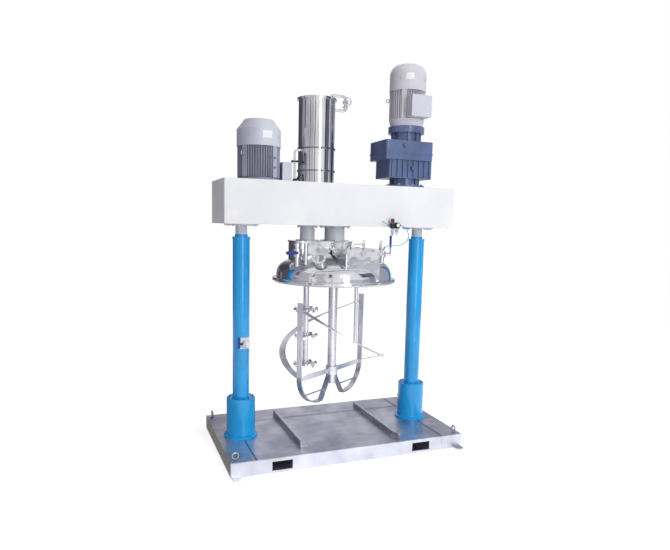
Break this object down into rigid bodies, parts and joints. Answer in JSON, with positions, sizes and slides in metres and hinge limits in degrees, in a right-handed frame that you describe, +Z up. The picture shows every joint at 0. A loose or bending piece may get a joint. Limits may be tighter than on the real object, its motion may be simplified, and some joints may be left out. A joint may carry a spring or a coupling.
{
  "type": "twin-shaft mixer",
  "caption": "Free-standing twin-shaft mixer: forkable base, two lifting columns, drive beam with motors, pot lid, toothed-disc disperser and ribbon frame agitator.",
  "frame": {"origin": "centre of the base's footprint, on the floor", "axes": "+Z up, +X along the beam from the disperser motor to the gear motor, -Y to the front"},
  "size_m": [2.4, 1.5198, 3.902],
  "materials": {
    "base_sheet": "brushed stainless sheet",
    "column_paint": "gloss blue enamel",
    "beam_paint": "smooth white powder coat",
    "motor_paint": "grey casting paint",
    "gear_motor_paint": "warm grey casting paint",
    "gearcase_paint": "blue-grey casting paint",
    "polished_steel": "mirror-polished stainless",
    "satin_steel": "satin stainless",
    "housing_paint": "light grey paint",
    "rod_chrome": "hard chrome",
    "zinc_bolts": "zinc-plated",
    "navy_grip": "dipped vinyl",
    "black_plastic": "moulded",
    "switch_body": "moulded",
    "clear_hose": "clear hose with fittings",
    "air_tube": "light blue polyurethane tube",
    "gasket_rubber": "white food-grade seal",
    "belt_rubber": "moulded belt",
    "sight_pane": "borosilicate disc"
  },
  "bodies": {
    "base": {"base_frame": "base_sheet", "deck_plates": "base_sheet", "guide_rails": "satin_steel", "base_bolts": "zinc_bolts", "lifting_eyes": "polished_steel", "anchor_lugs": "satin_steel", "column_housing_left": "column_paint", "column_housing_right": "column_paint", "column_tube_left": "column_paint", "column_tube_right": "column_paint", "limit_switch": "switch_body"},
    "head": {"lift_rod_left": "rod_chrome", "lift_rod_right": "rod_chrome", "beam_shell": "beam_paint", "beam_bottom": "beam_paint", "head_bolts": "zinc_bolts", "disperser_motor": "motor_paint", "disperser_motor_cowl": "motor_paint", "terminal_boxes": "gear_motor_paint", "gear_motor": "gear_motor_paint", "gear_motor_cowl": "gear_motor_paint", "gearcase": "gearcase_paint", "canister": "polished_steel", "canister_lid": "polished_steel", "canister_bands": "satin_steel", "vent_pipe": "polished_steel", "sight_hose": "clear_hose", "disperser_bearing_housing": "housing_paint", "frame_bearing_housing": "housing_paint", "lid_dome": "polished_steel", "lid_gasket": "gasket_rubber", "lid_pedestal": "polished_steel", "port_neck": "polished_steel", "port_cover": "polished_steel", "sight_ring": "polished_steel", "sight_glass": "sight_pane", "lid_nozzles": "polished_steel", "probe_tube": "polished_steel", "air_unit": "black_plastic", "air_hose": "air_tube", "disperser_belt": "belt_rubber", "frame_belt": "belt_rubber"},
    "disperser": {"disperser_shaft": "polished_steel", "toothed_discs": "polished_steel", "disperser_pulley": "satin_steel"},
    "frame_agitator": {"frame_shaft": "polished_steel", "side_bars": "polished_steel", "ribbon_front": "polished_steel", "ribbon_rear": "polished_steel", "cross_arms": "polished_steel", "frame_pulley": "satin_steel"},
    "motor_rotor": {"motor_rotor": "satin_steel"},
    "gear_output": {"gear_output": "satin_steel"},
    "clamp_left": {"clamp_left": "satin_steel"},
    "clamp_middle": {"clamp_middle": "satin_steel"},
    "clamp_right": {"clamp_right": "satin_steel"},
    "lever_left": {"valve_lever_left": "navy_grip"},
    "lever_right": {"valve_lever_right": "navy_grip"},
    "handwheel": {"vent_handwheel": "satin_steel"},
    "air_knob": {"air_knob": "black_plastic"}
  },
  "joints": [
    {"name": "head_lift", "type": "slide", "parent": "base", "child": "head", "axis": [0, 0, 1], "range_m": [0, 1.3]},
    {"name": "disperser_spin", "type": "hinge", "parent": "head", "child": "disperser", "pos_m": [-0.291, 0, 1.5], "axis": [0, 0, 1], "continuous": true},
    {"name": "motor_spin", "type": "hinge", "parent": "head", "child": "motor_rotor", "pos_m": [-0.795, 0, 2.5], "axis": [0, 0, 1], "continuous": true},
    {"name": "frame_spin", "type": "hinge", "parent": "head", "child": "frame_agitator", "pos_m": [0.003, 0, 1.5], "axis": [0, 0, 1], "continuous": true},
    {"name": "gear_output_spin", "type": "hinge", "parent": "head", "child": "gear_output", "pos_m": [0.785, 0, 2.5], "axis": [0, 0, 1], "continuous": true},
    {"name": "clamp_left_swing", "type": "hinge", "parent": "head", "child": "clamp_left", "pos_m": [-0.087, -0.5733, 1.988], "axis": [1, 0, 0], "range_deg": [0, 100]},
    {"name": "clamp_middle_swing", "type": "hinge", "parent": "head", "child": "clamp_middle", "pos_m": [0.0855, -0.5733, 1.988], "axis": [1, 0, 0], "range_deg": [0, 100]},
    {"name": "clamp_right_swing", "type": "hinge", "parent": "head", "child": "clamp_right", "pos_m": [0.264, -0.5733, 1.988], "axis": [1, 0, 0], "range_deg": [0, 100]},
    {"name": "lever_left_turn", "type": "hinge", "parent": "head", "child": "lever_left", "pos_m": [-0.47, -0.29, 1.985], "axis": [0, 1, 0], "range_deg": [0, 90]},
    {"name": "lever_right_turn", "type": "hinge", "parent": "head", "child": "lever_right", "pos_m": [0.505, -0.275, 1.975], "axis": [-1, 0, 0], "range_deg": [0, 90]},
    {"name": "handwheel_turn", "type": "hinge", "parent": "head", "child": "handwheel", "pos_m": [0.09, -0.0503, 3.477], "axis": [0, 1, 0], "range_deg": [0, 720]},
    {"name": "air_knob_turn", "type": "hinge", "parent": "head", "child": "air_knob", "pos_m": [0.471, -0.372, 2.3], "axis": [0, 0, 1], "range_deg": [0, 720]}
  ],
  "couplings": [
    {"joint": "motor_spin", "follows": "disperser_spin", "ratio": 0.8381},
    {"joint": "gear_output_spin", "follows": "frame_spin", "ratio": 1.5789}
  ]
}
